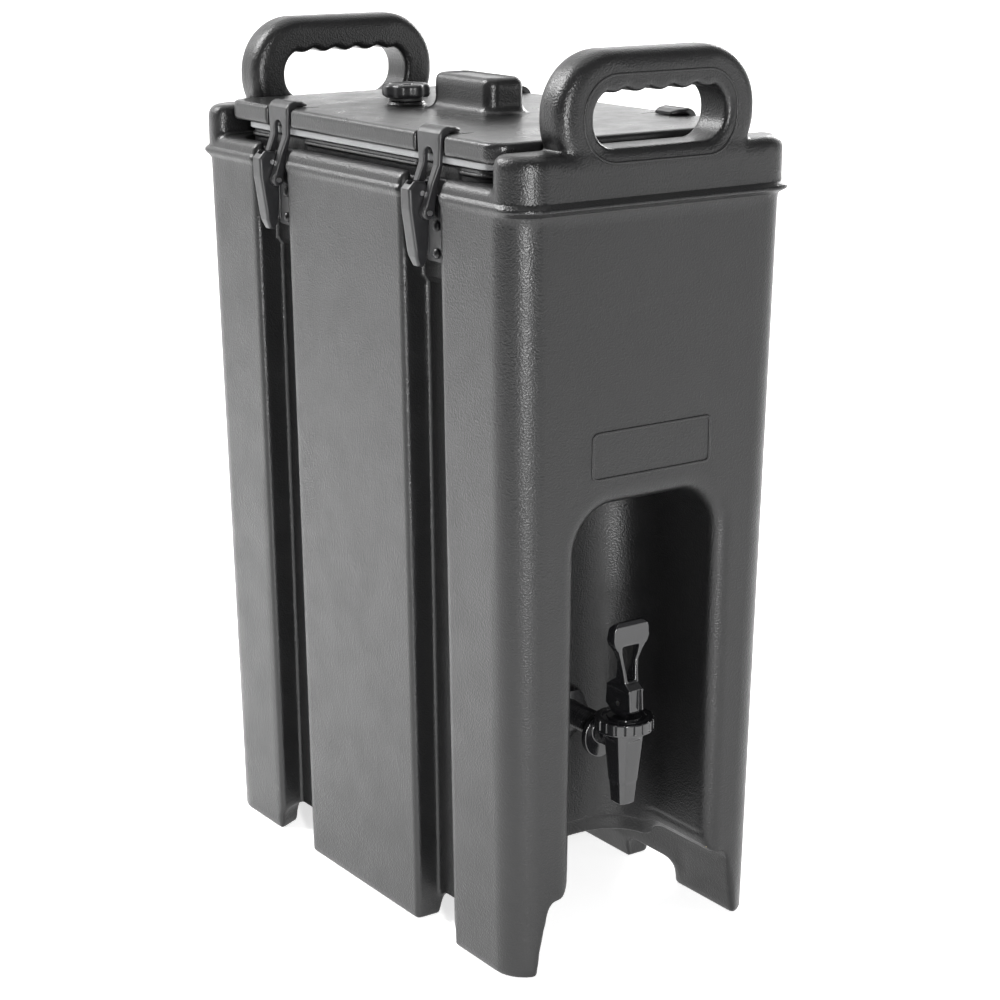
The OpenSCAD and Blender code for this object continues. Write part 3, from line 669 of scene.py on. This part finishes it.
def build_latches():
    """Each latch piece is meshed once and copied to the four corners."""
    quick, full = FINE
    kinds = {
        "lever": (lever_field, "latch", (104, -8, 472), (126, 8, 533)),
        "hook": (hook_field, "catch", (84, -15, 504), (119, 15, 566)),
        "bracket": (bracket_field, None, (94, -15, 474), (121, 15, 533)),
        "rivets": (rivet_field, None, (94, -5, 476), (103, 5, 506)),
    }
    for kind, (field, body, low, high) in kinds.items():
        mesh = meshed(kind, field, low, high, full)
        mesh.materials.append(LATCH)
        for corner, (i, j) in CORNERS.items():
            rides = f"{body}_{corner}" if body else "carrier"
            copy = placed(mesh, f"{kind}_{corner}_shape", i, j)
            piece(copy.name, copy, rides, "latch", f"{kind}_{corner}")


# ---------------------------------------------------------------- tap

TAP_Y = 175
BONNET_R = 20.8
PULL_Z = JOINTS["tap_pull"]["pos_m"][2] / MM
BONNET_LOW, BONNET_TOP = box_mm("tap_bonnet")[0][2], box_mm("tap_bonnet")[1][2]
SPOUT_LOW = box_mm("tap_body")[0][2]


def tap_body_field(x, y, z):
    """Threaded shank through the wall, flange, spigot, round barrel and a faceted tapering spout."""
    dy = y + TAP_Y
    half = np.interp(z, [SPOUT_LOW, 117, 119, BONNET_LOW - 3], [7.1, 8.3, 8.8, 11.9])
    facet = (np.abs(x) + np.abs(dy)) * math.sqrt(0.5) - half * 1.16
    sides = meet(rect(x, dy, half, half, 1), facet, 1)
    solid = meet(sides, slab(z, SPOUT_LOW, BONNET_LOW - 0.3), 0.8)
    barrel = meet(disc(x, dy, 12.9), slab(z, 150, BONNET_LOW + 5.2), 1)
    solid = join(solid, barrel, 1)
    thread = 0.35 * np.cos(y * 2 * math.pi / 2.4)
    shank = meet(disc(x, z - SHANK_Z, 8.6 + thread), slab(y, -151, -54), 0.8)
    solid = join(solid, shank, 0.5)
    collar = meet(disc(x, z - (SHANK_Z - 5), 15.9), slab(y, -151.9, -147.1), 1.2)
    solid = join(solid, collar, 1)
    spigot = meet(disc(x, z - (BONNET_LOW - 9.4), 8.9), slab(y, -169, -150), 0.5)
    solid = join(solid, spigot, 2)
    solid = cut(solid, meet(disc(x, dy, 10), 140 - z), 0.3)
    solid = cut(solid, disc(x, dy, 4.2), 0.4)
    seat = meet(disc(x, dy, 4.2 + np.clip(z - 138, 0, 2) * 1.1), slab(z, 137, 141))
    solid = cut(solid, seat)
    solid = cut(solid, meet(disc(x, z - SHANK_Z, 6), -150 - y))
    return cut(solid, meet(disc(x, z - BONNET_LOW + 6.3, 3.5), slab(y, -168, -140)))


def bonnet_field(x, y, z):
    """A ring nut with narrow notches round its rim and a shallow dish on top."""
    r = np.hypot(x, y + TAP_Y)
    turn = np.arctan2(y + TAP_Y, x)
    notches, depth, steep = 20, 1.1, 1.4
    away = np.abs(np.sin(turn * notches / 2)) * BONNET_R * 2 / notches
    notch = np.clip(1.15 - away * steep, 0, 1) * depth
    notch = notch * np.clip((z - BONNET_LOW - 1.5) / 0.6, 0, 1)
    skirt = meet(r - BONNET_R - 0.05 + notch, slab(z, BONNET_LOW + 0.1, BONNET_TOP - 0.6), 1.0)
    skirt = join(skirt, meet(r - 17, slab(z, BONNET_LOW + 1, BONNET_TOP - 0.05), 0.8), 0.8)
    skirt = cut(skirt, meet(slab(r, 12, 15), BONNET_TOP - 1.2 - z), 0.6)
    skirt = cut(skirt, meet(r - 13.2, z - (BONNET_LOW + 5.6)), 0.3)
    return cut(skirt, r - 3.4, 0.3)


def tap_handle_field(x, y, z):
    """A lever with an open middle and a wide rounded paddle, on a boxed foot with a sunk front panel."""
    dy = y + TAP_Y
    side = [(-14, 172), (-13, 187), (-8, 191), (-5.5, 206), (-7.5, 222), (-7.4, 232),
            (-5.2, 234.9), (-3.4, 235), (0, 231), (2, 222), (-0.5, 206), (3, 193),
            (13, 186), (14, 172), (5, 166), (-5, 166)]
    foot = rect(x, z - 170, 6, 21, 1.5)
    neck_half = np.interp(z, [185, 193, 200, 207, 213, 218], [5.9, 6.1, 6.6, 7.9, 10.2, 12.6])
    neck = meet(np.abs(x) - neck_half, slab(z, 186, 222))
    paddle = rect(x, z - 226, 14.9, 9, 6.5)
    front = join(join(foot, neck, 2), paddle, 4)
    hole_half = np.interp(z, [190, 196, 206, 212, 218], [2.9, 3.3, 4.6, 6.4, 7.2])
    window = meet(np.abs(x) - hole_half, slab(z, 192, 217), 2)
    solid = meet(outline(dy, z, side), front, 1.4)
    solid = cut(solid, window, 1.6)
    panel = meet(rect(x, z - 178.5, 4.3, 8.2, 0.8), dy + 10.5, 0.3)
    solid = cut(solid, panel, 0.4)
    solid = cut(solid, meet(rect(x, dy, 2.6, 9, 0.4), z - PULL_Z - 5.5))
    return cut(solid, meet(disc(dy, z - PULL_Z, 1.7), np.abs(x) - 7))


def build_tap():
    """The tap's three outer pieces; its inner ones are the CAD's own."""
    jobs = [
        ("tap_shape", tap_body_field, "carrier", "tap_body"),
        ("bonnet_shape", bonnet_field, "carrier", "tap_bonnet"),
        ("tap_handle_shape", tap_handle_field, "tap_lever", "tap_handle"),
    ]
    for name, field, body, node in jobs:
        moulded(name, field, *box_mm(node), FINE, TAP, body, "tap", node)


# ---------------------------------------------------------------- carried-over CAD nodes

CARRIED = {
    "foam_core": FOAM,
    "lid_foam": FOAM,
    "tank": TANK,
    "lid_base": LID,
    "vent_seal": WASHER,
    "tap_stem": TAP,
    "tap_cup": SILICONE,
    "tap_spring": STEEL,
    "tap_pin": PIN,
    "tap_locknut": TAP,
    "wall_washer": WASHER,
    "tank_washer": WASHER,
    "tank_nut": NUT,
    **{f"{pin}_pin_{corner}": PIN for pin in ("pivot", "hook") for corner in CORNERS},
}


def dress_nodes():
    """Give each CAD node that stays visible its finish."""
    for name, material in CARRIED.items():
        node = frame["nodes"][name]
        node.data.materials.clear()
        node.data.materials.append(material)


# ---------------------------------------------------------------- studio


def area_light(name, size, place, aim, power, size_y=None):
    """A soft rectangular light that the camera doesn't see."""
    data = bpy.data.lights.new(name, "AREA")
    data.shape = "RECTANGLE"
    data.size = size
    data.size_y = size_y or size
    data.energy = power
    light = bpy.data.objects.new(name, data)
    light.location = place
    light.visible_camera = False
    light.rotation_euler = (Vector(aim) - Vector(place)).to_track_quat("-Z", "Y").to_euler()
    bpy.context.scene.collection.objects.link(light)


def build_floor():
    """A pale sheet of studio paper that curves up behind the object, about square to the main view."""
    reach, back, high, half_width = 4.0, 3.2, 4.5, 5.0
    bend, parts = 1.2, 12
    rows = [(-reach, 0.0), (back - bend, 0.0)]
    for k in range(1, parts + 1):
        a = k * math.pi / 2 / parts
        rows.append((back - bend + bend * math.sin(a), bend - bend * math.cos(a)))
    rows.append((back, high))
    turn = math.radians(-36)
    cos, sin = math.cos(turn), math.sin(turn)
    verts = []
    for along, up in rows:
        for side in (-half_width, half_width):
            verts.append((side * cos - along * sin, side * sin + along * cos, up))
    faces = [(2 * k, 2 * k + 1, 2 * k + 3, 2 * k + 2) for k in range(len(rows) - 1)]
    mesh = bpy.data.meshes.new("studio_floor")
    mesh.from_pydata(verts, [], faces)
    mesh.polygons.foreach_set("use_smooth", [True] * len(faces))
    floor = bpy.data.objects.new("studio_floor", mesh)
    bpy.context.scene.collection.objects.link(floor)
    f = Finish("studio_paper")
    f.link("Base Color", f.ramp(f.noise(3, 2), (0.3, 0.93), (0.7, 0.96)))
    f.set(Roughness=0.9, Emission_Color=(1, 1, 1, 1), Emission_Strength=0.68)
    mesh.materials.append(f.material)


def build_studio():
    """The floor, an even white surround and the lights."""
    build_floor()
    world = bpy.data.worlds.new("studio_world")
    bpy.context.scene.world = world
    world.use_nodes = True
    background = world.node_tree.nodes["Background"]
    background.inputs["Color"].default_value = (1.0, 1.0, 1.0, 1)
    background.inputs["Strength"].default_value = 0.22
    area_light("side_box", 1.5, (-1.6, 2.3, 0.9), (0, 0, 0.3), 14, size_y=1.7)
    area_light("floor_glow", 0.9, (-0.9, 1.0, 1.6), (-0.45, 0.45, 0), 44)
    area_light("back_box", 1.6, (2.7, 2.0, 1.2), (0, 0, 0.5), 85, size_y=1.2)
    area_light("sky", 3.0, (0.3, 0.6, 3.2), (0.1, 0.2, 0), 36)
    area_light("corner_strip", 0.13, (-1.0, -2.1, 0.7), (-0.1, -0.2, 0.5), 44, size_y=1.3)
    area_light("front_box", 1.6, (2.2, -2.2, 0.7), (0, 0, 0.4), 10, size_y=1.2)


def build_camera():
    """The main view: from the front left, a little above."""
    data = bpy.data.cameras.new("camera")
    data.sensor_width = 36
    data.lens = 82.51
    camera = bpy.data.objects.new("camera", data)
    place = Vector((-0.91216, -1.33338, 0.72642))
    yaw, pitch, roll = math.radians(34.698), math.radians(-16.367), math.radians(-0.057)
    forward = Vector((math.sin(yaw) * math.cos(pitch), math.cos(yaw) * math.cos(pitch), math.sin(pitch)))
    camera.location = place
    look = forward.to_track_quat("-Z", "Y").to_matrix().to_4x4()
    camera.matrix_world = Matrix.Translation(place) @ look @ Matrix.Rotation(roll, 4, "Z")
    data.shift_x = 0.0081
    data.shift_y = 0.0343
    bpy.context.scene.collection.objects.link(camera)
    bpy.context.scene.camera = camera


build_camera()
build_shell()
build_lid()
build_vent_cap()
build_latches()
build_tap()
dress_nodes()
build_studio()
bpy.context.scene.view_settings.view_transform = "Standard"
